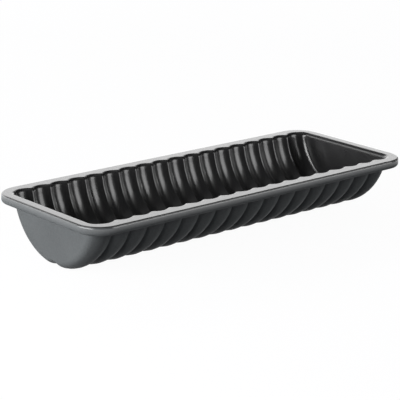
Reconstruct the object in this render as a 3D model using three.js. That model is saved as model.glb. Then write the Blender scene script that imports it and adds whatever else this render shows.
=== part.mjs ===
// Ridged loaf pan: a half-round fluted cake mould drawn from one steel sheet, its cut edge rolled
// round a stiffening wire. A glossy release coating covers the cavity and the flange, and a satin
// coating covers the outside, the skirt and the roll.
// Millimetres, +Z up, X along the pan. The origin is under the pan's middle, on the table.
import * as THREE from "three";

// Cavity, on the steel's inside face. Its length and width are taken at the top of the wall.
const CAVITY_LENGTH = 281.2;
const CAVITY_WIDTH = 96.9;
const TROUGH_DEPTH = 40.15; // from the top of the wall to the round bottom
const END_DRAFT = THREE.MathUtils.degToRad(0.5); // how far the end walls lean out
const END_LAND = 1.55; // from the full width of the last flute to the top of the end wall
const CORNER_TOP = 5.5; // radius between the last flute and the end wall, at the rim
const CORNER_FOOT = 4.6; // and at the bottom

// Flutes across the trough, and the spine pressed up along the middle of its bottom
const FLUTE_COUNT = 18;
const FLUTE_DEPTH = 3; // at a sharp ridge, before the ridge is rounded
const RIDGE_HALF_WIDTH = 1.1; // rounded stretch on each side of a ridge's crest
const SPINE_HALF_WIDTH = 7.7;
const SPINE_HEIGHT = 2.2;

// Sheet, coatings and rim
const SHEET = 0.6;
const INSIDE_COATING = 0.05;
const OUTSIDE_COATING = 0.05;
const FLARE_HEIGHT = 2.75; // rounded lip between the wall and the flat flange
const FLANGE_BEND = 1.5; // radius of the flange's outer edge
const WIRE_DIAMETER = 2.6;
const WIRE_CLEARANCE = 0.2; // between the wire and the roll around it
const ROLL_HEADROOM = 1.45; // between the roll and the underside of the flange
const ROLL_GAP_SIDE = 5.9; // between the roll and the side wall
const ROLL_GAP_END = 4.4; // between the roll and the end wall
const ROLL_TURN = THREE.MathUtils.degToRad(270);
const RIM_CORNER = 18.4; // outside corner radius of the rim, in plan

// Facets
const FLUTE_STEPS = 4;
const CORNER_STEPS = 3;
const END_STEPS = 3;
const SPINE_STEPS = 2;
const WALL_STEPS = 5;
const FLARE_STEPS = 2;
const BEND_STEPS = 3;
const FOLD_STEP = 2; // the bend's step where the glossy coating gives way to the satin one
const ROLL_STEPS = 8;
const RIM_CORNER_STEPS = 6;
const WIRE_SIDES = 8;
const FILLET_ROUNDS = 20; // times that the fillet's first turn is put back into its formula

// The section is one arc: its radius follows from the cavity's width and depth.
const HALF_WIDTH = CAVITY_WIDTH / 2;
const ARC_RADIUS = (HALF_WIDTH ** 2 + TROUGH_DEPTH ** 2) / (2 * TROUGH_DEPTH);
const ARC_RISE = ARC_RADIUS - TROUGH_DEPTH; // the arc's centre, above the top of the wall
const ARC_CENTRE = ARC_RISE - FLARE_HEIGHT; // heights are measured from the flange's steel
const SIDE_LEAN = Math.asin(ARC_RISE / ARC_RADIUS);
const PITCH = (CAVITY_LENGTH - 2 * END_LAND) / FLUTE_COUNT;
const FLUTE_RADIUS = PITCH ** 2 / (8 * FLUTE_DEPTH);
const LAST_FLUTE = ((FLUTE_COUNT - 1) / 2) * PITCH; // the middle of the last flute
const BUILD = SHEET + OUTSIDE_COATING; // from the steel's inside face to the outside of the pan
const ROLL_RADIUS = WIRE_DIAMETER / 2 + WIRE_CLEARANCE + BUILD;
const ROLL_DROP = BUILD + ROLL_HEADROOM + ROLL_RADIUS; // flange to the wire's middle
const RIM_HALF_LENGTH = CAVITY_LENGTH / 2 + BUILD + ROLL_GAP_END + 2 * ROLL_RADIUS;
const RIM_HALF_WIDTH = HALF_WIDTH + BUILD + ROLL_GAP_SIDE + 2 * ROLL_RADIUS;

const RIGHT_ANGLE = Math.PI / 2;
const mix = THREE.MathUtils.lerp;

// The end wall's place at a height: it leans out towards the rim.
function endWallX(height) {
  return CAVITY_LENGTH / 2 + Math.tan(END_DRAFT) * (height + FLARE_HEIGHT);
}

// How far the wall comes in at x: a round flute between ridges, and a rounded crest on each ridge.
function fluteInset(x) {
  const place = x / PITCH + FLUTE_COUNT / 2;
  const flute = (s) => FLUTE_DEPTH * (1 - (2 * s) / PITCH) ** 2;
  const fromRidge = Math.abs(place - Math.round(place)) * PITCH;
  if (fromRidge >= RIDGE_HALF_WIDTH) return flute(fromRidge);
  const slope = ((4 * FLUTE_DEPTH) / PITCH) * (1 - (2 * RIDGE_HALF_WIDTH) / PITCH);
  const crown = (RIDGE_HALF_WIDTH ** 2 - fromRidge ** 2) / (2 * RIDGE_HALF_WIDTH);
  return flute(RIDGE_HALF_WIDTH) + slope * crown;
}

// The spine's rise at an angle from straight down: half a cosine wave on each side.
function spineRise(angle) {
  const across = Math.min(1, Math.abs(ARC_RADIUS * angle) / SPINE_HALF_WIDTH);
  return (SPINE_HEIGHT / 2) * (1 + Math.cos(Math.PI * across));
}

// A point of the section at a radius and an angle, and the angle where that radius meets the rim.
const onArc = (x, radius, angle) =>
  new THREE.Vector3(x, radius * Math.sin(angle), ARC_CENTRE - radius * Math.cos(angle));
const rimAngle = (radius) => Math.acos(Math.min(1, ARC_RISE / radius));

// How the last flute meets the end wall at place v: a fillet that touches both. It leaves the flute
// where the flute's slope equals the fillet's turn, and by then the wall has come in by `inset`.
function endFillet(v) {
  const radius = mix(CORNER_FOOT, CORNER_TOP, v * v);
  const wallX = endWallX(onArc(0, ARC_RADIUS, v * rimAngle(ARC_RADIUS)).z);
  let turn = 0;
  let pastMiddle = 0;
  for (let i = 0; i < FILLET_ROUNDS; i++) {
    pastMiddle = wallX - radius * (1 - Math.sin(turn)) - LAST_FLUTE;
    turn = Math.atan(pastMiddle / FLUTE_RADIUS);
  }
  const inset = pastMiddle ** 2 / (2 * FLUTE_RADIUS);
  return { radius, turn, pastMiddle, inset, endInset: inset + radius * Math.cos(turn) };
}

// Each row of the inside face runs from the near rim, v = -1, to the far rim, v = 1.
function troughPoint(x, v) {
  const radius = ARC_RADIUS - fluteInset(x);
  const angle = v * rimAngle(radius);
  return onArc(x, radius - spineRise(angle), angle);
}

// The corner turns from the last flute, share = 0, to the end wall, share = 1.
function cornerPoint(end, share, v) {
  const fillet = endFillet(v);
  const turn = mix(fillet.turn, RIGHT_ANGLE, share);
  const rounding = fillet.inset + fillet.radius * (Math.cos(fillet.turn) - Math.cos(turn));
  const smooth = ARC_RADIUS - rounding;
  const angle = v * rimAngle(smooth);
  const x = endWallX(onArc(0, smooth, angle).z) - fillet.radius * (1 - Math.sin(turn));
  return onArc(end * x, smooth - spineRise(angle) * Math.cos(RIGHT_ANGLE * share), angle);
}

// The end wall closes in arcs on the middle of its top edge, share = 1.
function endPoint(end, share, v) {
  const radius = mix(ARC_RADIUS - endFillet(v).endInset, ARC_RISE, share);
  const edge = mix(ARC_RADIUS - endFillet(1).endInset, ARC_RISE, share);
  const point = onArc(0, radius, v * rimAngle(edge));
  return point.setX(end * endWallX(point.z));
}

// Places across the section: finer over the spine, then even steps up the wall.
function sectionPlaces() {
  const shoulder = SPINE_HALF_WIDTH / ARC_RADIUS / rimAngle(ARC_RADIUS);
  const half = [];
  for (let i = 1; i <= SPINE_STEPS; i++) half.push((shoulder * i) / SPINE_STEPS);
  for (let i = 1; i <= WALL_STEPS; i++) half.push(mix(shoulder, 1, i / WALL_STEPS));
  return [...half.map((v) => -v).reverse(), 0, ...half];
}

// Rows of the inside face from the -X end to the +X end, each with its turn and its end.
function tubRows() {
  const cornerStart = LAST_FLUTE + Math.min(endFillet(0).pastMiddle, endFillet(1).pastMiddle);
  const lastRow = cornerStart - PITCH / (4 * FLUTE_STEPS);
  const trough = [];
  for (let i = 0; i <= FLUTE_COUNT * FLUTE_STEPS; i++) {
    const x = (i / FLUTE_STEPS - FLUTE_COUNT / 2) * PITCH;
    if (Math.abs(x) < lastRow) trough.push({ end: 1, turn: 0, at: (v) => troughPoint(x, v) });
  }
  const closing = (end) => {
    const rows = [];
    for (let i = 0; i <= CORNER_STEPS; i++) {
      const share = i / CORNER_STEPS;
      rows.push({ end, turn: RIGHT_ANGLE * share, at: (v) => cornerPoint(end, share, v) });
    }
    for (let i = 1; i <= END_STEPS; i++) {
      rows.push({ end, turn: RIGHT_ANGLE, at: (v) => endPoint(end, i / END_STEPS, v) });
    }
    return rows;
  };
  return [...closing(-1).reverse(), ...trough, ...closing(1)];
}

// The rim's outline in plan, seen from above it runs anticlockwise, each point with its way out.
function rimOutline() {
  const outline = [];
  for (let quarter = 0; quarter < 4; quarter++) {
    const sideX = quarter === 0 || quarter === 3 ? 1 : -1;
    const sideY = quarter < 2 ? 1 : -1;
    for (let i = 0; i <= RIM_CORNER_STEPS; i++) {
      const angle = RIGHT_ANGLE * (quarter + i / RIM_CORNER_STEPS);
      const out = new THREE.Vector2(Math.cos(angle), Math.sin(angle));
      const x = sideX * (RIM_HALF_LENGTH - RIM_CORNER) + RIM_CORNER * out.x;
      const y = sideY * (RIM_HALF_WIDTH - RIM_CORNER) + RIM_CORNER * out.y;
      outline.push({ x, y, out });
    }
  }
  return outline;
}

// The outline carried out by `out` and up by `up`, as one ring of points.
const ringAt = (outline, out, up) =>
  outline.map((p) => new THREE.Vector3(p.x + p.out.x * out, p.y + p.out.y * out, up));

// A surface that grows row by row: its points and its triangles.
class Sheet {
  points = [];
  triangles = [];

  add(points) {
    const first = this.points.length;
    this.points.push(...points);
    return points.map((_, i) => first + i);
  }

  triangle(a, b, c) {
    if (a !== b && b !== c && c !== a) this.triangles.push(a, b, c);
  }

  // Joins two rows of the same length, the second on the right of the first.
  join(left, right, closed) {
    const steps = closed ? left.length : left.length - 1;
    for (let i = 0; i < steps; i++) {
      const next = (i + 1) % left.length;
      this.triangle(left[i], right[i], right[next]);
      this.triangle(left[i], right[next], left[next]);
    }
  }

  // Fills a flat ring between two loops of any number of points.
  fillFlat(inner, outer) {
    const flat = (loop) => loop.map((i) => new THREE.Vector2(this.points[i].x, this.points[i].y));
    const loops = [...outer, ...inner];
    for (const face of THREE.ShapeUtils.triangulateShape(flat(outer), [flat(inner)])) {
      const [a, b, c] = face.map((i) => loops[i]);
      const corners = flat([a, b, c]);
      const upwards = THREE.ShapeUtils.area(corners) > 0;
      if (upwards) this.triangle(a, b, c);
      else this.triangle(a, c, b);
    }
  }
}

function geometryOf(points, triangles) {
  return new THREE.BufferGeometry().setFromPoints(points).setIndex(triangles);
}

// The tub's inside face, and the loop of points along the top of its wall.
function addTub(sheet) {
  const places = sectionPlaces();
  const rows = tubRows();
  const last = rows.length - 1;
  const grid = rows.map((row, r) => {
    if (r > 0 && r < last) return sheet.add(places.map(row.at));
    const [tip] = sheet.add([row.at(0)]);
    return places.map(() => tip);
  });
  for (let r = 0; r < last; r++) sheet.join(grid[r], grid[r + 1], false);

  const edge = (r, side) => {
    const { end, turn } = rows[r];
    const index = side < 0 ? grid[r][0] : grid[r].at(-1);
    const out = new THREE.Vector2(end * Math.sin(turn), side * Math.cos(turn));
    const lean = mix(SIDE_LEAN, END_DRAFT, Math.sin(turn) ** 2);
    return { index, out, lean };
  };
  const between = rows.map((_, r) => r).slice(1, last);
  const near = between.map((r) => edge(r, -1));
  const far = between.map((r) => edge(r, 1)).reverse();
  return [edge(0, -1), ...near, edge(last, -1), ...far];
}

// The lip that turns from the wall's lean over to the flat flange.
function addFlare(sheet, wallTop) {
  let inner = wallTop.map((p) => p.index);
  for (let i = 1; i <= FLARE_STEPS; i++) {
    const ring = wallTop.map(({ index, out, lean }) => {
      const radius = FLARE_HEIGHT / (1 - Math.sin(lean));
      const angle = (RIGHT_ANGLE - lean) * (1 - i / FLARE_STEPS);
      const reach = radius * (Math.cos(lean) - Math.sin(angle));
      const { x, y } = sheet.points[index];
      return new THREE.Vector3(x + out.x * reach, y + out.y * reach, radius * (Math.cos(angle) - 1));
    });
    const outer = sheet.add(ring);
    sheet.join(inner, outer, true);
    inner = outer;
  }
  return inner;
}

// The rim's profile from the flange's edge: a bend, a straight skirt and the roll round the wire.
// Its last place lies a coating's thickness past the sheet's cut edge.
function rimProfile() {
  const onBend = (angle) => [FLANGE_BEND * (Math.cos(angle) - 1), FLANGE_BEND * (Math.sin(angle) - 1)];
  const onRoll = (turn) => [ROLL_RADIUS * (Math.cos(turn) - 1), -ROLL_RADIUS * Math.sin(turn) - ROLL_DROP];
  const profile = [];
  for (let i = 0; i <= BEND_STEPS; i++) profile.push(onBend(RIGHT_ANGLE * (1 - i / BEND_STEPS)));
  for (let i = 0; i <= ROLL_STEPS; i++) profile.push(onRoll((ROLL_TURN * i) / ROLL_STEPS));
  profile.push(onRoll(ROLL_TURN + OUTSIDE_COATING / ROLL_RADIUS));
  return profile;
}

// The whole inside face, with marks at the fold in the bend, at the cut edge and at its tip.
// A mark is a ring of points, and the number of triangle corners that come before it.
function panSheet() {
  const sheet = new Sheet();
  const outline = rimOutline();
  const flangeInner = addFlare(sheet, addTub(sheet));
  const rings = rimProfile().map(([out, up]) => sheet.add(ringAt(outline, out, up)));
  sheet.fillFlat(flangeInner, rings[0]);
  const reached = [sheet.triangles.length];
  for (let i = 1; i < rings.length; i++) {
    sheet.join(rings[i - 1], rings[i], true);
    reached.push(sheet.triangles.length);
  }
  const mark = (i) => ({ ring: rings.at(i), reached: reached.at(i) });
  Object.assign(sheet, { middle: { reached: 0 }, fold: mark(FOLD_STEP), cut: mark(-2), tip: mark(-1) });
  sheet.normals = normalsUpToCut(sheet);
  return sheet;
}

// Normals of the sheet. The tip takes those of the cut edge, so that it caps the sheet squarely.
function normalsUpToCut(sheet) {
  const face = geometryOf(sheet.points, sheet.triangles.slice(0, sheet.cut.reached));
  face.computeVertexNormals();
  const normals = sheet.points.map((_, i) =>
    new THREE.Vector3().fromBufferAttribute(face.attributes.normal, i),
  );
  sheet.tip.ring.forEach((i, place) => normals[i].copy(normals[sheet.cut.ring[place]]));
  return normals;
}

// A solid made of parts of the sheet at several depths, measured towards its inside face.
class Layer extends Sheet {
  constructor(sheet) {
    super();
    this.sheet = sheet;
  }

  // The sheet at one depth. A point is added when a part first uses it.
  level(depth) {
    const { points, normals } = this.sheet;
    const added = new Map();
    return (i) => {
      if (!added.has(i)) {
        const [index] = this.add([points[i].clone().addScaledVector(normals[i], depth)]);
        added.set(i, index);
      }
      return added.get(i);
    };
  }

  // A triangle, turned over if it doesn't face forward.
  facing(forward, a, b, c) {
    if (forward) this.triangle(a, b, c);
    else this.triangle(a, c, b);
  }

  // The part between two marks, facing up or down.
  part(level, from, to, facesUp) {
    for (let i = from.reached; i < to.reached; i += 3) {
      this.facing(facesUp, ...this.sheet.triangles.slice(i, i + 3).map(level));
    }
  }

  // A strip along a mark, facing out along the sheet or back. Both split their cells the same way,
  // so that two layers meet along it face to face.
  strip(mark, upper, lower, facesOut) {
    mark.ring.forEach((here, i) => {
      const next = mark.ring[(i + 1) % mark.ring.length];
      this.facing(facesOut, upper(here), lower(here), lower(next));
      this.facing(facesOut, upper(here), lower(next), upper(next));
    });
  }

  geometry() {
    return geometryOf(this.points, this.triangles);
  }
}

// A layer of even thickness from the middle of the pan out to a mark.
function evenLayer(sheet, low, high, mark) {
  const layer = new Layer(sheet);
  const top = layer.level(high);
  const under = layer.level(low);
  layer.part(top, sheet.middle, mark, true);
  layer.strip(mark, top, under, true);
  layer.part(under, sheet.middle, mark, false);
  return layer.geometry();
}

// The outside coating: under the whole pan, round the cut edge, and back over the roll and the
// skirt up to the fold.
function wrappedLayer(sheet) {
  const { middle, fold, cut, tip } = sheet;
  const layer = new Layer(sheet);
  const skirtFace = layer.level(OUTSIDE_COATING);
  const skirtSteel = layer.level(0);
  const underSteel = layer.level(-SHEET);
  const underFace = layer.level(-BUILD);
  layer.part(skirtFace, fold, tip, true);
  layer.strip(tip, skirtFace, underFace, true);
  layer.part(underFace, middle, tip, false);
  layer.part(underSteel, middle, cut, true);
  layer.strip(cut, skirtSteel, underSteel, false);
  layer.part(skirtSteel, fold, cut, false);
  layer.strip(fold, skirtFace, skirtSteel, false);
  return layer.geometry();
}

// The wire lies in the middle of the roll, all the way round.
function wireGeometry() {
  const outline = rimOutline();
  const wire = new Sheet();
  const rings = [];
  for (let i = 0; i < WIRE_SIDES; i++) {
    const angle = (-2 * Math.PI * i) / WIRE_SIDES;
    const out = (WIRE_DIAMETER / 2) * Math.cos(angle) - ROLL_RADIUS;
    const up = (WIRE_DIAMETER / 2) * Math.sin(angle) - ROLL_DROP;
    rings.push(wire.add(ringAt(outline, out, up)));
  }
  rings.forEach((ring, i) => wire.join(ring, rings[(i + 1) % WIRE_SIDES], true));
  return geometryOf(wire.points, wire.triangles);
}

function piece(name, geometry, color, roughness, metalness) {
  const material = new THREE.MeshStandardMaterial({ color, roughness, metalness });
  const mesh = new THREE.Mesh(geometry, material);
  mesh.name = name;
  return mesh;
}

const sheet = panSheet();
const steel = evenLayer(sheet, -SHEET, 0, sheet.cut);
const gloss = evenLayer(sheet, 0, INSIDE_COATING, sheet.fold);
const shell = piece("steel_shell", steel, 0x8b8d90, 0.4, 1);
const inside = piece("release_coating", gloss, 0x1c1c1e, 0.25, 0.1);
const outside = piece("outside_coating", wrappedLayer(sheet), 0x4a4d50, 0.45, 0.3);
const wire = piece("rim_wire", wireGeometry(), 0x9a9ca0, 0.35, 1);

// The pan stands on the lowest crests of its flutes.
const pan = new THREE.Group();
pan.add(shell, inside, outside, wire);
outside.geometry.computeBoundingBox();
pan.position.z = -outside.geometry.boundingBox.min.z;

export default pan;
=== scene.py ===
# %% [markdown]
# # Ridged loaf pan
# A half-round cake mould, drawn from one steel sheet. Ridges run across its trough, its two ends
# are flat, and its rim is folded over and rolled round a wire. A glossy dark film is baked on the
# inside of the sheet, and a satin grey film on the outside.
# This lesson works the pan out as one smooth surface with numpy, gives that surface its three
# layers, and finishes them with node materials. The engineering model is loaded first. It fixes
# where everything is, and every new piece takes the place of one of its nodes.

# %% Load the fixed frame
import math

import bpy
import numpy as np
from mathutils import Matrix, Vector


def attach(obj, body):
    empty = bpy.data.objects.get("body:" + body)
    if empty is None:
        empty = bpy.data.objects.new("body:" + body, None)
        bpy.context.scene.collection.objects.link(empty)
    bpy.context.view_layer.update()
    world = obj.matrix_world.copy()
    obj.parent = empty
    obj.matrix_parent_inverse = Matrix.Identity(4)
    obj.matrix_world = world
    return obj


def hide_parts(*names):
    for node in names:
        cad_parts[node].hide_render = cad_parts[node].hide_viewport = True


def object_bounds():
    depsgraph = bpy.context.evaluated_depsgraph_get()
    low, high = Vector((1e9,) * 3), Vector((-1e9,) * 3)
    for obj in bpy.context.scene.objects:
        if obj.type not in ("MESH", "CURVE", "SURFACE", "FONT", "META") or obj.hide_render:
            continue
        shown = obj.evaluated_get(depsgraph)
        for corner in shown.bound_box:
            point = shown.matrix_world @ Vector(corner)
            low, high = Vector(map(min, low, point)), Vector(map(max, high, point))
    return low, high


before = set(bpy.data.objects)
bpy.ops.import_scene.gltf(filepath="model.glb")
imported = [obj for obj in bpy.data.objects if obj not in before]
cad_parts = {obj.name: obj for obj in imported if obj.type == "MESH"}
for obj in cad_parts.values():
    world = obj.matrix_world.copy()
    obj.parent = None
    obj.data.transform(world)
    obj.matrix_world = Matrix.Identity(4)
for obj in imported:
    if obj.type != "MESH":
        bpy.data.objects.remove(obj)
cad_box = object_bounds()
print("nodes:", sorted(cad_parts))
print("box in metres:", [tuple(round(c, 4) for c in corner) for corner in cad_box])

# %% [markdown]
# ## Driving sizes
# A press tool for this pan is drawn from few numbers: the cavity's length, width and depth, the
# number of flutes, the sheet, and the wire in the rim. Everything else can be typed in as points,
# or it can follow from those numbers. Here it follows, so that the pan stays one clean form.
# Heights are measured from the flange, and the frame says how high the flange is.

# %% Sizes of the cavity, its flutes and its spine, in metres
CAVITY_LENGTH = 0.2812
CAVITY_WIDTH = 0.0969
TROUGH_DEPTH = 0.04015
END_DRAFT = math.radians(0.5)
END_LAND = 0.00155
CORNER_TOP = 0.0055
CORNER_FOOT = 0.0046
FLUTE_COUNT = 18
FLUTE_DEPTH = 0.003
RIDGE_HALF_WIDTH = 0.0011
SPINE_HALF_WIDTH = 0.0077
SPINE_HEIGHT = 0.0022
print(f"cavity {CAVITY_LENGTH} x {CAVITY_WIDTH}, {TROUGH_DEPTH} deep, {FLUTE_COUNT} flutes")

# %% Sizes of the sheet, its films and the rim, in metres
SHEET = 0.0006
INSIDE_FILM = 0.00005
OUTSIDE_FILM = 0.00005
FLARE_HEIGHT = 0.00275
FLANGE_BEND = 0.0015
WIRE_DIAMETER = 0.0026
WIRE_CLEARANCE = 0.0002
ROLL_HEADROOM = 0.00145
ROLL_GAP_SIDE = 0.0059
ROLL_GAP_END = 0.0044
ROLL_TURN = math.radians(270)
RIM_CORNER = 0.0184
print(f"sheet {SHEET}, wire {WIRE_DIAMETER}, rolled {math.degrees(ROLL_TURN):.0f} degrees")

# %% What follows from them
RIGHT_ANGLE = math.pi / 2
FLANGE_TOP = cad_box[1].z - INSIDE_FILM
HALF_WIDTH = CAVITY_WIDTH / 2
ARC_RADIUS = (HALF_WIDTH**2 + TROUGH_DEPTH**2) / (2 * TROUGH_DEPTH)
ARC_RISE = ARC_RADIUS - TROUGH_DEPTH
ARC_CENTRE = ARC_RISE - FLARE_HEIGHT
SIDE_LEAN = math.asin(ARC_RISE / ARC_RADIUS)
BUILD = SHEET + OUTSIDE_FILM
ROLL_RADIUS = WIRE_DIAMETER / 2 + WIRE_CLEARANCE + BUILD
ROLL_DROP = BUILD + ROLL_HEADROOM + ROLL_RADIUS
RIM_HALF_LENGTH = CAVITY_LENGTH / 2 + BUILD + ROLL_GAP_END + 2 * ROLL_RADIUS
RIM_HALF_WIDTH = HALF_WIDTH + BUILD + ROLL_GAP_SIDE + 2 * ROLL_RADIUS


def end_wall_x(height):
    """Half the cavity's length, plus the draft's slope times the height above the wall's top."""
    return CAVITY_LENGTH / 2 + math.tan(END_DRAFT) * (height + FLARE_HEIGHT)


PITCH = (CAVITY_LENGTH - 2 * END_LAND) / FLUTE_COUNT
FLUTE_RADIUS = PITCH**2 / (8 * FLUTE_DEPTH)
LAST_FLUTE = (FLUTE_COUNT - 1) / 2 * PITCH
print(f"trough radius {ARC_RADIUS:.4f}, flute pitch {PITCH:.4f}, rim {2 * RIM_HALF_LENGTH:.4f}")

# %% [markdown]
# ## The trough as a function of two numbers
# Cut across, the trough is one arc of a circle. Along the pan the arc's radius swells and shrinks,
# which makes the flutes, and a low spine is pressed up along the bottom. Modelling this by hand
# would mean eighteen flutes that all have to agree. A formula gives them all at once: the radius
# is the plain arc less a flute inset that depends on x, less a spine that depends on the angle.

# %% Flutes and spine
def mix(a, b, share):
    """From a at share 0 to b at share 1, in a straight line. It takes arrays here, and patterns in
    the materials below."""
    return a + (b - a) * share


def flute_inset(x):
    """How far the wall comes in at x. Between two ridges it is a parabola, zero in mid-flute and
    FLUTE_DEPTH at a sharp ridge. Near a ridge a second parabola with the same slope where they
    meet rounds the crest."""
    place = x / PITCH + FLUTE_COUNT / 2
    from_ridge = np.abs(place - np.round(place)) * PITCH
    outside_crest = np.maximum(from_ridge, RIDGE_HALF_WIDTH)
    inside_crest = np.minimum(from_ridge, RIDGE_HALF_WIDTH)
    flute = FLUTE_DEPTH * (1 - 2 * outside_crest / PITCH) ** 2
    slope = 4 * FLUTE_DEPTH / PITCH * (1 - 2 * RIDGE_HALF_WIDTH / PITCH)
    crown = (RIDGE_HALF_WIDTH**2 - inside_crest**2) / (2 * RIDGE_HALF_WIDTH)
    return flute + slope * crown


def spine_rise(angle):
    """Half a cosine wave on each side of straight down: full height there, zero at its foot."""
    across = np.minimum(1, np.abs(ARC_RADIUS * angle) / SPINE_HALF_WIDTH)
    return SPINE_HEIGHT / 2 * (1 + np.cos(np.pi * across))


def rim_angle(radius):
    """The angle from straight down at which an arc of this radius reaches the wall's top."""
    return np.arccos(np.minimum(1, ARC_RISE / radius))


print(f"a ridge stands {flute_inset(np.zeros(1))[0] * 1000:.2f} mm into the cavity")

# %% Where the last flute meets the end wall
FILLET_ROUNDS = 20


def end_rounding(v):
    """How the last flute meets the end wall at place v: a fillet that touches both. It leaves the
    flute where the flute's slope equals the fillet's turn, which is found by putting the turn
    back into its own formula FILLET_ROUNDS times. Gives the fillet's radius, that turn, and how
    far past the flute's middle it is."""
    fillet = mix(CORNER_FOOT, CORNER_TOP, v**2)
    wall_x = end_wall_x(ARC_CENTRE - ARC_RADIUS * np.cos(v * rim_angle(ARC_RADIUS)))
    turn = 0 * v
    for _ in range(FILLET_ROUNDS):
        past_middle = wall_x - fillet * (1 - np.sin(turn)) - LAST_FLUTE
        turn = np.arctan(past_middle / FLUTE_RADIUS)
    return fillet, turn, past_middle


fillets, turns, past_middles = end_rounding(np.array([0.0, 1.0]))
TROUGH_HALF = LAST_FLUTE + past_middles.min()
END_INSET = past_middles[1] ** 2 / (2 * FLUTE_RADIUS) + fillets[1] * np.cos(turns[1])
print(f"the end wall's top is {END_INSET * 1000:.2f} mm narrower than the trough on each side")

# %% [markdown]
# ## Rows along the pan
# Each row of the grid is one section. Most rows stand in the trough at their own x. At both ends
# the rows turn a quarter circle into the end wall, and then shrink to the middle of its top edge,
# so that the whole cavity is a single grid. An even spacing would waste points in the broad
# flutes and miss the narrow ridges, so the rows crowd where the sheet bends most.

# %% Rows and section places
ROWS_IN_A_FLUTE = np.array(
    [0, 0.035, 0.071, 0.14, 0.24, 0.36, 0.5, 0.64, 0.76, 0.86, 0.929, 0.965]
)
CORNER_ROWS = 15
END_ROWS = 8
PLACES_ACROSS = 81
CORNER_GAP = 0.06 * PITCH


def rows_along():
    """Four numbers for each row: x (used in the trough only), turn (0 in the trough to 90 degrees
    on the end wall), share (0 at the end wall's outline to 1 at the middle of its top edge) and
    end (-1 or 1). Trough rows closer than CORNER_GAP to the corner rows are left out."""
    x = ((np.arange(FLUTE_COUNT)[:, None] + ROWS_IN_A_FLUTE).ravel() - FLUTE_COUNT / 2) * PITCH
    x = x[np.abs(x) < TROUGH_HALF - CORNER_GAP]
    trough = np.stack([x, 0 * x, 0 * x, np.ones_like(x)], axis=1)

    turn = np.linspace(0, RIGHT_ANGLE, CORNER_ROWS)
    share = np.linspace(0, 1, END_ROWS + 1)[1:]
    turns = np.concatenate([turn, np.full(END_ROWS, RIGHT_ANGLE)])
    shares = np.concatenate([0 * turn, share])
    closing = np.stack([np.full_like(turns, np.nan), turns, shares, np.ones_like(turns)], axis=1)
    opening = closing[::-1] * [1, 1, 1, -1]
    return np.concatenate([opening, trough, closing]).T


rows = rows_along()
places = np.linspace(-1, 1, PLACES_ACROSS)
print("rows:", rows.shape[1], "places across:", len(places))

# %% The cavity's surface
def tub_surface(rows, places):
    """A point for each row and each place v from the near rim, -1, to the far rim, 1. The angle is
    v times the rim's angle. The radius is the plain arc, less the flute in the trough, less the
    fillet's rounding at an end, and on the end wall it shrinks to the middle of the top edge. x is
    the row's own in the trough. At an end it is the end wall's, less the fillet's rounding."""
    trough_x, turn, share, end = rows[:, :, None]
    v = places[None, :]
    fillet, first_turn, past_middle = end_rounding(v)
    wall_turn = mix(first_turn, RIGHT_ANGLE, turn / RIGHT_ANGLE)
    flute_rise = past_middle**2 / (2 * FLUTE_RADIUS)
    rounding = flute_rise + fillet * (np.cos(first_turn) - np.cos(wall_turn))
    at_end = mix(ARC_RADIUS - rounding, ARC_RISE, share)
    smooth = np.where(np.isnan(trough_x), at_end, ARC_RADIUS - flute_inset(trough_x))
    outline = mix(ARC_RADIUS - END_INSET, ARC_RISE, share)
    angle = v * rim_angle(np.where(share > 0, outline, smooth))
    end_x = end_wall_x(ARC_CENTRE - smooth * np.cos(angle)) - fillet * (1 - np.sin(wall_turn))
    x = np.where(np.isnan(trough_x), end * end_x, trough_x)
    radius = smooth - spine_rise(angle) * np.cos(turn)
    return np.stack([x, radius * np.sin(angle), ARC_CENTRE - radius * np.cos(angle)], axis=-1)


tub = tub_surface(rows, places)
print("cavity reaches from", tub.min(axis=(0, 1)).round(4), "to", tub.max(axis=(0, 1)).round(4))

# %% [markdown]
# ## The rim as a profile carried round a loop
# From the top of the wall the sheet flares over to a flat flange, bends down into a skirt and
# curls round the wire. A bevelled curve could do that for a plain ring, but here the inner edge
# follows every flute while the outer edge is a plain rounded rectangle. So each point of the
# wall's top gets its partner on the rectangle, and the profile is carried between the two.

# %% The loop round the wall's top, and its partner on the outside of the rim
def loop_round(grid):
    """The near edge of every row from the -X end to the +X end, then the far edge back again.
    The first and last row are single points, so they are taken once."""
    near, far = grid[1:-1, 0], grid[1:-1, -1]
    return np.concatenate([grid[:1, 0], near, grid[-1:, 0], far[::-1]])


def loop_frame(rows):
    """For each point of the loop: its partner on the rim's outline, the way out in plan, and how
    far the wall leans there. Trough rows are spread along the straight side, corner rows lie on
    the outline's corner arcs at their own turn, and end rows keep their share of the straight
    end."""
    x, turn, share, end = rows
    edge = mix(ARC_RADIUS - END_INSET, ARC_RISE, share)
    across = np.sqrt(edge**2 - ARC_RISE**2)
    straight = (RIM_HALF_WIDTH - RIM_CORNER) * across / across[share == 0][0]
    out_x = end * np.sin(turn)
    side_half = RIM_HALF_LENGTH - RIM_CORNER
    rim_x = np.where(np.isnan(x), end * side_half + RIM_CORNER * out_x, x * side_half / TROUGH_HALF)
    rim_y = straight + RIM_CORNER * np.cos(turn)
    lean = mix(SIDE_LEAN, END_DRAFT, np.sin(turn) ** 2)

    def both_sides(side):
        columns = [rim_x, side * rim_y, out_x, side * np.cos(turn), lean]
        return np.stack(columns, axis=-1)

    grid = np.stack([both_sides(-1), both_sides(1)], axis=1)
    looped = loop_round(grid)
    return looped[:, 0:2], looped[:, 2:4], looped[:, 4]


wall_top = loop_round(tub)
outline, way_out, lean = loop_frame(rows)
print("points round the rim:", len(wall_top))

# %% Flare, flange, bend, skirt and roll
FLARE_STEPS = 6
BEND_STEPS = 7
FOLD_STEP = 4
ROLL_STEPS = 14
FLANGE_SHARES = np.array([0.05, 0.35, 0.65, 0.95])


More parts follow.
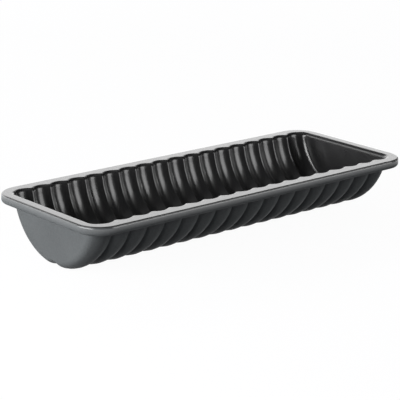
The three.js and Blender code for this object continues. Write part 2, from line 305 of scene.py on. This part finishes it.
def flare_surface(steps):
    """The lip: a circle that leaves the wall at its lean and ends level. The reach is measured
    along the way out, and the height falls from the flange by the circle's radius."""
    radius = FLARE_HEIGHT / (1 - np.sin(lean))
    angle = (RIGHT_ANGLE - lean) * (1 - steps[:, None])
    reach = radius * (np.cos(lean) - np.sin(angle))
    plan = wall_top[None, :, :2] + way_out[None] * reach[:, :, None]
    return np.concatenate([plan, radius[None, :, None] * (np.cos(angle) - 1)[:, :, None]], axis=-1)


def carried(out, up):
    """The rim's outline moved out and up by each pair of the profile."""
    plan = outline[None] + way_out[None] * out[:, None, None]
    height = np.broadcast_to(up[:, None, None], plan.shape[:2] + (1,))
    return np.concatenate([plan, height], axis=-1)


def rim_profile():
    """Pairs of out and up from the flange's edge: a quarter circle down, then the skirt, then
    the roll, most of a circle round the wire. The last pair lies a film's thickness past the
    sheet's cut edge."""
    bend = RIGHT_ANGLE * (1 - np.linspace(0, 1, BEND_STEPS + 1))
    roll = -ROLL_TURN * np.linspace(0, 1, ROLL_STEPS + 1)
    roll = np.append(roll, -ROLL_TURN - OUTSIDE_FILM / ROLL_RADIUS)
    out = np.concatenate([FLANGE_BEND * (np.cos(bend) - 1), ROLL_RADIUS * (np.cos(roll) - 1)])
    up = np.concatenate([FLANGE_BEND * (np.sin(bend) - 1), ROLL_RADIUS * np.sin(roll) - ROLL_DROP])
    return out, up


flare = flare_surface(np.linspace(0, 1, FLARE_STEPS + 1)[1:])
rolled = carried(*rim_profile())
flange = mix(flare[-1], rolled[0], FLANGE_SHARES[:, None, None])
rim = np.concatenate([flare, flange, rolled])
print("rings in the rim:", len(rim), "lowest at", rim[..., 2].min().round(4))

# %% [markdown]
# ## One sheet, three layers
# The steel and its two films are the same surface at different depths. A Solidify modifier would
# thicken it too, but three stacked modifiers would not meet face to face. Moving every point along
# its own normal does: the lower face of one layer is then exactly the upper face of the next.
# The glossy film is sprayed from above, so it ends where the rim has bent down. The satin film is
# sprayed from below. It covers the skirt and the roll too, and wraps round the sheet's cut edge.

# %% Join cavity and rim into one sheet
def grid_triangles(index):
    """Two triangles for each cell of a grid of point numbers, without those that a shared point
    makes flat."""
    a, b, c, d = index[:-1, :-1], index[1:, :-1], index[1:, 1:], index[:-1, 1:]
    cells = np.concatenate([np.stack([a, b, c], -1), np.stack([a, c, d], -1)]).reshape(-1, 3)
    first, second, third = cells.T
    flat = (first == second) | (second == third) | (third == first)
    return cells[~flat]


def closed(index):
    """The grid with its first column repeated at the end, so that its rings close."""
    return np.concatenate([index, index[:, :1]], axis=1)


row_count, place_count = tub.shape[:2]
inner_rows = tub[1:-1].reshape(-1, 3)
tub_index = np.zeros((row_count, place_count), int)
tub_index[1:-1] = 1 + np.arange(len(inner_rows)).reshape(row_count - 2, place_count)
tub_index[-1] = 1 + len(inner_rows)
tub_points = np.concatenate([tub[:1, 0], inner_rows, tub[-1:, 0]])
rim_index = len(tub_points) + np.arange(rim[..., 0].size).reshape(rim.shape[:2])
rim_index = np.concatenate([loop_round(tub_index)[None], rim_index])
sheet_points = np.concatenate([tub_points, rim.reshape(-1, 3)]) + [0, 0, FLANGE_TOP]

WALL_TOP_RING = 0
TIP_RING = len(rim_index) - 1
CUT_RING = TIP_RING - 1
FOLD_RING = CUT_RING - ROLL_STEPS - 1 - BEND_STEPS + FOLD_STEP
print("sheet:", len(sheet_points), "points, cut edge at ring", CUT_RING, "fold at ring", FOLD_RING)

# %% Triangles and normals of the sheet
def sheet_part(first, last):
    """The sheet's triangles from one ring to another. The cavity comes with the wall's top."""
    part = grid_triangles(closed(rim_index[first : last + 1]))
    if first > WALL_TOP_RING:
        return part
    return np.concatenate([grid_triangles(tub_index), part])


def point_normals(points, triangles):
    """Each point's normal: the sum of its triangles' area vectors, made one long."""
    a, b, c = np.swapaxes(points[triangles], 0, 1)
    area = np.cross(b - a, c - a)
    normals = np.zeros_like(points)
    np.add.at(normals, triangles, area[:, None, :])
    return normals / np.linalg.norm(normals, axis=1, keepdims=True)


# The tip ring lies beyond the steel, so it takes over the normals of the cut edge.
steel_points = sheet_points[: rim_index[TIP_RING, 0]]
steel_normals = point_normals(steel_points, sheet_part(WALL_TOP_RING, CUT_RING))
sheet_normals = np.concatenate([steel_normals, steel_normals[rim_index[CUT_RING]]])
print("normals:", len(sheet_normals))

# %% Parts of a layer, and a skin made of them
def raised(level, first, last):
    """A part of the sheet at one of a skin's depths, facing up."""
    return sheet_part(first, last) + level * len(sheet_points)


def lowered(level, first, last):
    """The same part, facing down."""
    return raised(level, first, last)[:, ::-1]


def edge(ring, upper, lower):
    """A strip along a ring from one depth to another, facing out along the sheet."""
    levels = np.array([[upper], [lower]]) * len(sheet_points)
    return grid_triangles(closed(rim_index[ring] + levels))


def skin(depths, parts):
    """A closed surface out of parts at several depths: each point moved along its normal, and
    points that no triangle uses left out."""
    points = np.concatenate([sheet_points + sheet_normals * depth for depth in depths])
    used, triangles = np.unique(np.concatenate(parts), return_inverse=True)
    return points[used], triangles.reshape(-1, 3)


# %% The three layers and the wire
def gloss_skin():
    """The sheet up to the fold, from its upper face to a film's thickness above it."""
    parts = [
        raised(0, WALL_TOP_RING, FOLD_RING),
        edge(FOLD_RING, 0, 1),
        lowered(1, WALL_TOP_RING, FOLD_RING),
    ]
    return skin([INSIDE_FILM, 0], parts)


def steel_skin():
    """The sheet up to its cut edge, from its upper face to a sheet's thickness below it."""
    parts = [
        raised(0, WALL_TOP_RING, CUT_RING),
        edge(CUT_RING, 0, 1),
        lowered(1, WALL_TOP_RING, CUT_RING),
    ]
    return skin([0, -SHEET], parts)


def satin_skin():
    """Its outer face runs over the skirt and the roll, round the cut edge and back under the whole
    pan. Its inner face lies against the steel all the way."""
    parts = [
        raised(0, FOLD_RING, TIP_RING),
        edge(TIP_RING, 0, 3),
        lowered(3, WALL_TOP_RING, TIP_RING),
        raised(2, WALL_TOP_RING, CUT_RING),
        edge(CUT_RING, 1, 2)[:, ::-1],
        lowered(1, FOLD_RING, CUT_RING),
        edge(FOLD_RING, 0, 1)[:, ::-1],
    ]
    return skin([OUTSIDE_FILM, 0, -SHEET, -BUILD], parts)


def wire_surface(sides):
    """A round wire carried round the rim's outline, in the middle of the roll."""
    angle = -2 * np.pi * np.arange(sides) / sides
    out = WIRE_DIAMETER / 2 * np.cos(angle) - ROLL_RADIUS
    up = WIRE_DIAMETER / 2 * np.sin(angle) - ROLL_DROP
    points = carried(out, up)
    index = np.arange(points[..., 0].size).reshape(points.shape[:2])
    index = np.concatenate([index, index[:1]])
    return points.reshape(-1, 3) + [0, 0, FLANGE_TOP], grid_triangles(closed(index))


# %% [markdown]
# ## From arrays to meshes
# Blender keeps a mesh as flat lists of points, corners and faces. Python lists could fill them one
# item at a time. Here `foreach_set` copies whole numpy arrays, which suits meshes of this size.
# Every piece stays at the origin with its place in its points, as the engineering model's do.

# %% Put points and triangles into a Blender mesh
def add_piece(name, points, triangles):
    """A smooth shaded mesh object at the origin, its place in its points."""
    mesh = bpy.data.meshes.new(name)
    mesh.vertices.add(len(points))
    mesh.vertices.foreach_set("co", points.astype(np.float32).ravel())
    mesh.loops.add(triangles.size)
    mesh.loops.foreach_set("vertex_index", triangles.astype(np.int32).ravel())
    mesh.polygons.add(len(triangles))
    mesh.polygons.foreach_set("loop_start", np.arange(0, triangles.size, 3, dtype=np.int32))
    mesh.polygons.foreach_set("use_smooth", np.ones(len(triangles), bool))
    mesh.update(calc_edges=True)
    piece = bpy.data.objects.new(name, mesh)
    bpy.context.scene.collection.objects.link(piece)
    print(f"{name}: {len(triangles)} triangles")
    return piece


WIRE_SIDES = 16
inside_film = add_piece("inside_film", *gloss_skin())
steel_sheet = add_piece("steel_sheet", *steel_skin())
outside_film = add_piece("outside_film", *satin_skin())
wire_ring = add_piece("wire_ring", *wire_surface(WIRE_SIDES))

# %% [markdown]
# ## Writing materials as sums
# Node trees grow quickly when every addition is a node made by hand. A small class wraps one
# output socket, so that `1 - mask * 0.5` adds the Math nodes for it. One method makes every other
# kind of node: the settings come first, because some of them change which sockets a node has.

# %% A socket that can be added, subtracted and multiplied
class Shade:
    """One output of a node tree. Plain numbers go straight onto the next node's socket."""

    def __init__(self, tree, output=None):
        self.tree = tree
        self.output = output

    def node(self, kind, settings=None, values=None, output=0):
        """Adds a node, sets it, gives each named socket a value or a link, and wraps an output."""
        node = self.tree.nodes.new(kind)
        for name, setting in (settings or {}).items():
            setattr(node, name, setting)
        for name, value in (values or {}).items():
            if isinstance(value, Shade):
                self.tree.links.new(value.output, node.inputs[name])
            else:
                node.inputs[name].default_value = value
        return Shade(self.tree, node.outputs[output] if node.outputs else None)

    def math(self, operation, first, second):
        return self.node("ShaderNodeMath", {"operation": operation}, {0: first, 1: second})

    def __add__(self, other):
        return self.math("ADD", self, other)

    def __sub__(self, other):
        return self.math("SUBTRACT", self, other)

    def __rsub__(self, other):
        return self.math("SUBTRACT", other, self)

    def __mul__(self, other):
        return self.math("MULTIPLY", self, other)

    __radd__ = __add__
    __rmul__ = __mul__


# %% What every finish is made of
# The Mix node has sockets of the same name for each kind of data. These are the colour ones.
MIX_FACTOR, MIX_FIRST, MIX_SECOND, MIX_RESULT = 0, 6, 7, 2


def new_material(name):
    """An empty node material, and a Shade that adds nodes to it."""
    material = bpy.data.materials.new(name)
    material.use_nodes = True
    material.node_tree.nodes.clear()
    return material, Shade(material.node_tree)


def noise(shade, size, detail, roughness=0.5, stretch=None):
    """Noise over the piece's own coordinates, about 0.5, with lumps of the given size in metres. A
    stretch below 1 draws the lumps out along that axis."""
    place = shade.node("ShaderNodeTexCoord", output="Object")
    if stretch:
        place = shade.node("ShaderNodeMapping", {}, {"Vector": place, "Scale": stretch})
    return shade.node(
        "ShaderNodeTexNoise",
        {"noise_dimensions": "3D"},
        {"Vector": place, "Scale": 1 / size, "Detail": detail, "Roughness": roughness},
        "Fac",
    )


def blend_colour(shade, factor, first, second):
    """A colour from first to second as the factor goes from 0 to 1."""
    settings = {"data_type": "RGBA", "clamp_factor": True}
    values = {MIX_FACTOR: factor, MIX_FIRST: first, MIX_SECOND: second}
    return shade.node("ShaderNodeMix", settings, values, MIX_RESULT)


def add_finish(shade, values, height, strength, depth):
    """A Principled surface with these values over a bump. The bump is the height pattern times its
    depth in metres, and the strength says how much of it shows."""
    bump = {"Strength": strength, "Distance": depth, "Height": height}
    normal = shade.node("ShaderNodeBump", {}, bump)
    surface = shade.node("ShaderNodeBsdfPrincipled", {}, {**values, "Normal": normal})
    shade.node("ShaderNodeOutputMaterial", {}, {"Surface": surface})


# %% [markdown]
# ## The release film inside
# The inside is a baked coating: near black, smooth to the finger, with a faint orange peel from
# spraying and a fine grain. Most of what it shows is reflection, so gloss matters more than colour.
# One gloss alone looks like plastic. Here a rough body gives every flute a soft highlight, a thin
# clear coat over it keeps a crisper core, and a slow drift in the roughness makes it look baked.

# %% Release film
GLOSS_DARK = (0.02, 0.02, 0.021, 1)
GLOSS_PALE = (0.027, 0.027, 0.028, 1)


def release_film():
    """Colour and roughness follow the drift, and three tenths of the bump are grain."""
    material, shade = new_material("release_film")
    drift = noise(shade, size=0.018, detail=3)
    grain = noise(shade, size=0.0007, detail=2)
    peel = noise(shade, size=0.0022, detail=2)
    values = {
        "Base Color": blend_colour(shade, drift, GLOSS_DARK, GLOSS_PALE),
        "Roughness": 0.25 + drift * 0.05 + grain * 0.02,
        "IOR": 1.95,
        "Coat Weight": 0.35,
        "Coat Roughness": 0.09,
        "Coat IOR": 1.6,
    }
    add_finish(shade, values, height=mix(peel, grain, 0.3), strength=0.04, depth=0.00004)
    return material


gloss_finish = release_film()
print("release film:", len(gloss_finish.node_tree.nodes), "nodes")

# %% [markdown]
# ## The satin film outside
# The outside has a thinner, matter coat of dark grey. It scatters light, so its own colour shows
# more, and a fine mottle breaks it up. Broad soft drift stands for uneven spraying, fine grain for
# the pigment, and the bump keeps highlights from looking polished. A little of the glossy spray
# drifts over the bend and thins out down the skirt. A mask painted by hand would have to be redone
# for another size of pan, so this haze is a clear coat whose weight falls with the height.

# %% Satin film
SATIN_DARK = (0.086, 0.092, 0.096, 1)
SATIN_PALE = (0.16, 0.17, 0.175, 1)
HAZE_DROP = 0.0045


def haze_below_flange(shade):
    """1 half way down the bend and above. It falls in a straight line to 0 at HAZE_DROP below the
    flange."""
    place = shade.node("ShaderNodeTexCoord", output="Object")
    level = shade.node("ShaderNodeSeparateXYZ", {}, {"Vector": place}, "Z")
    return shade.node(
        "ShaderNodeMapRange",
        {},
        {
            "Value": level,
            "From Min": FLANGE_TOP - HAZE_DROP,
            "From Max": FLANGE_TOP - FLANGE_BEND / 2,
        },
    )


def satin_film():
    """Colour follows mottle and drift, roughness drift and grain, and the bump mottle and grain."""
    material, shade = new_material("satin_film")
    drift = noise(shade, size=0.03, detail=3)
    mottle = noise(shade, size=0.0016, detail=3, roughness=0.6)
    grain = noise(shade, size=0.0005, detail=2)
    values = {
        "Base Color": blend_colour(shade, mix(mottle, drift, 0.4), SATIN_DARK, SATIN_PALE),
        "Roughness": 0.36 + drift * 0.08 + grain * 0.08,
        "IOR": 1.07,
        "Coat Weight": haze_below_flange(shade),
        "Coat Roughness": 0.16,
        "Coat IOR": 2.0,
    }
    add_finish(shade, values, height=mix(mottle, grain, 0.4), strength=0.3, depth=0.00006)
    return material


satin_finish = satin_film()
print("satin film:", len(satin_finish.node_tree.nodes), "nodes")

# %% [markdown]
# ## Bare steel
# The sheet under its films and the wire in the roll are bare steel. Hardly any of it shows, but each
# is a piece of its own and has to look right when it is taken out. Both came out of rolls and dies,
# so their scratches run one way. An image of brushed metal would need a layout of the surface. Noise
# drawn out along the pan, and for the wire across it too, needs none.

# %% Brushed steel
STEEL_DARK = (0.42, 0.43, 0.44, 1)
STEEL_PALE = (0.6, 0.61, 0.62, 1)


def bare_steel(name, stretch):
    """Colour, roughness and bump all follow the same scratches."""
    material, shade = new_material(name)
    scratches = noise(shade, size=0.0004, detail=3, stretch=stretch)
    values = {
        "Base Color": blend_colour(shade, scratches, STEEL_DARK, STEEL_PALE),
        "Metallic": 1,
        "Roughness": 0.28 + scratches * 0.14,
    }
    add_finish(shade, values, height=scratches, strength=0.2, depth=0.00003)
    return material


sheet_finish = bare_steel("sheet_steel", stretch=(0.06, 1, 1))
wire_finish = bare_steel("wire_steel", stretch=(0.1, 0.1, 1))
print("bare steel:", len(sheet_finish.node_tree.nodes), "nodes each")

# %% [markdown]
# ## Dressing the pieces
# Each piece gets its finish, rides on the pan's only body and takes the place of the node that it
# shows in finer steps. Four blocks of calls would do it too, but in a table a wrong pair stands out.

# %% Dress the pieces, and let each stand for its node
DRESSING = [
    (inside_film, "release_coating", "release_film", gloss_finish),
    (steel_sheet, "steel_shell", "sheet_steel", sheet_finish),
    (outside_film, "outside_coating", "outside_film", satin_finish),
    (wire_ring, "rim_wire", "wire_steel", wire_finish),
]
for piece, node, slot, material in DRESSING:
    piece.data.materials.append(material)
    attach(piece, "root")
    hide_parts(node)
    print(f"{piece.name} stands for {node}")

# %% [markdown]
# ## Floor
# The pan stands on a plain sheet of paper that shows as an even white. Lighting a floor until it
# is white would also flood the pan from below and wash out its dark sides. So the white is a glow
# that depends on what looks at the floor: the camera, a mirrored ray and a ray through something
# clear see it, and the light that the floor throws back onto the pan comes from the paper alone.
# The paper's own shading is added to the glow, so that a faint shadow stays under the pan.

# %% Floor
FLOOR_HALF = 6.0
FLOOR_LEVEL = -0.0001
WHITE_SHARE = 0.96
PAPER_DARK = (0.06, 0.06, 0.067, 1)
PAPER_PALE = (0.08, 0.08, 0.087, 1)
WHITE = (1, 1, 1, 1)


def pale_floor():
    """The glow is WHITE_SHARE for each kind of ray that looks at the floor, and 0 for the rays that
    only carry its light. Paper and glow are added."""
    material, shade = new_material("pale_floor")
    seen = shade.node("ShaderNodeLightPath", output="Is Camera Ray")
    mirrored = shade.node("ShaderNodeLightPath", output="Is Glossy Ray")
    through = shade.node("ShaderNodeLightPath", output="Is Transmission Ray")
    white_share = (seen + mirrored + through) * WHITE_SHARE
    cloud = noise(shade, size=0.4, detail=2)
    colour = blend_colour(shade, cloud, PAPER_DARK, PAPER_PALE)
    paper = shade.node("ShaderNodeBsdfDiffuse", {}, {"Color": colour})
    white = shade.node("ShaderNodeEmission", {}, {"Color": WHITE, "Strength": 1})
    # The first of the two mixed shaders is left empty, which is black.
    glow = shade.node("ShaderNodeMixShader", {}, {0: white_share, 2: white})
    both = shade.node("ShaderNodeAddShader", {}, {0: glow, 1: paper})
    shade.node("ShaderNodeOutputMaterial", {}, {"Surface": both})
    return material


corners = np.array([[-1, -1, 0], [1, -1, 0], [1, 1, 0], [-1, 1, 0]]) * FLOOR_HALF
floor = add_piece("floor", corners + [0, 0, FLOOR_LEVEL], np.array([[0, 1, 2], [0, 2, 3]]))
floor.data.materials.append(pale_floor())

# %% [markdown]
# ## Light
# Glossy dark things are lit by what they mirror. The flange mirrors a broad low panel behind the
# pan, every flute mirrors one in front on the right, and a narrow strip further round adds the thin
# second line beside it. A low panel on the left lights the satin end and the far inner wall. Part of
# its light comes from a second lamp just behind it that nothing mirrors, so that the flange doesn't
# glare when it is seen from the right. A faint panel overhead shows the flange from above. A bright
# sky alone would be simpler, but the bottom of the cavity mirrors it and has to stay dark.

# %% Sky and panels
SKY = 0.015


def add_sky():
    world = bpy.data.worlds.new("dim_sky")
    world.use_nodes = True
    world.node_tree.nodes.clear()
    shade = Shade(world.node_tree)
    sky = shade.node("ShaderNodeBackground", {}, {"Color": WHITE, "Strength": SKY})
    shade.node("ShaderNodeOutputWorld", {}, {"Surface": sky})
    bpy.context.scene.world = world


def direction(azimuth, elevation):
    """Unit vector from the pan towards a place, from angles in degrees. Azimuth is counted from -Y
    towards +X."""
    a, e = math.radians(azimuth), math.radians(elevation)
    return Vector((math.sin(a) * math.cos(e), -math.cos(a) * math.cos(e), math.sin(e)))


def add_panel(name, place, size, brightness, mirrored=True):
    """A rectangular lamp that faces the pan. Its place is an azimuth, an elevation and a distance,
    and its size a width and a height. Its power is its brightness times pi times its area. One that
    isn't mirrored lights surfaces all the same, but no gloss shows it."""
    azimuth, elevation, distance = place
    width, height = size
    towards = direction(azimuth, elevation)
    light = bpy.data.lights.new(name, "AREA")
    light.shape = "RECTANGLE"
    light.size, light.size_y = width, height
    light.energy = brightness * math.pi * width * height
    lamp = bpy.data.objects.new(name, light)
    lamp.location = towards * distance
    lamp.rotation_euler = towards.to_track_quat("Z", "Y").to_euler()
    lamp.visible_glossy = mirrored
    bpy.context.scene.collection.objects.link(lamp)
    print(f"{name}: {light.energy:.1f} W")


add_sky()
add_panel("back_panel", place=(172, 18, 2.0), size=(5.0, 1.3), brightness=1.75)
add_panel("front_right_panel", place=(34, 19, 1.6), size=(1.0, 1.1), brightness=2.1)
add_panel("right_strip", place=(84, 6, 1.6), size=(0.06, 0.3), brightness=5.0)
add_panel("left_panel", place=(-95, 12.8, 1.0), size=(1.15, 0.45), brightness=4.7)
add_panel("left_fill", place=(-95, 12.8, 1.03), size=(1.15, 0.45), brightness=3.5, mirrored=False)
add_panel("top_panel", place=(0, 90, 1.5), size=(1.2, 1.2), brightness=0.12)

# %% [markdown]
# ## Camera
# The pan is seen from its near left corner, from a little above the rim, with a long lens, so that
# its far end is hardly smaller than its near end. A constraint could aim the camera, but it leaves
# no slight roll. So the camera is built from three directions, back from the target, right and up,
# and then turned.

# %% Camera
CAMERA_TARGET = Vector((-0.05041, -0.04873, FLANGE_TOP + 0.00033))
CAMERA_AZIMUTH = -41.12
CAMERA_ELEVATION = 16.455
CAMERA_ROLL = math.radians(0.835)
CAMERA_DISTANCE = 1.1472
CAMERA_LENS = 149.97
SENSOR_WIDTH = 36.0


def add_camera():
    data = bpy.data.cameras.new("camera")
    data.lens = CAMERA_LENS
    data.sensor_width = SENSOR_WIDTH
    camera = bpy.data.objects.new("camera", data)
    back = direction(CAMERA_AZIMUTH, CAMERA_ELEVATION)
    right = Vector((0, 0, 1)).cross(back).normalized()
    up = back.cross(right)
    level = Matrix((right, up, back)).transposed()
    turned = level @ Matrix.Rotation(CAMERA_ROLL, 3, "Z")
    place = CAMERA_TARGET + back * CAMERA_DISTANCE
    camera.matrix_world = Matrix.Translation(place) @ turned.to_4x4()
    bpy.context.scene.collection.objects.link(camera)
    bpy.context.scene.camera = camera
    print("camera at", [round(c, 3) for c in place])


add_camera()
bpy.context.scene.view_settings.view_transform = "Standard"
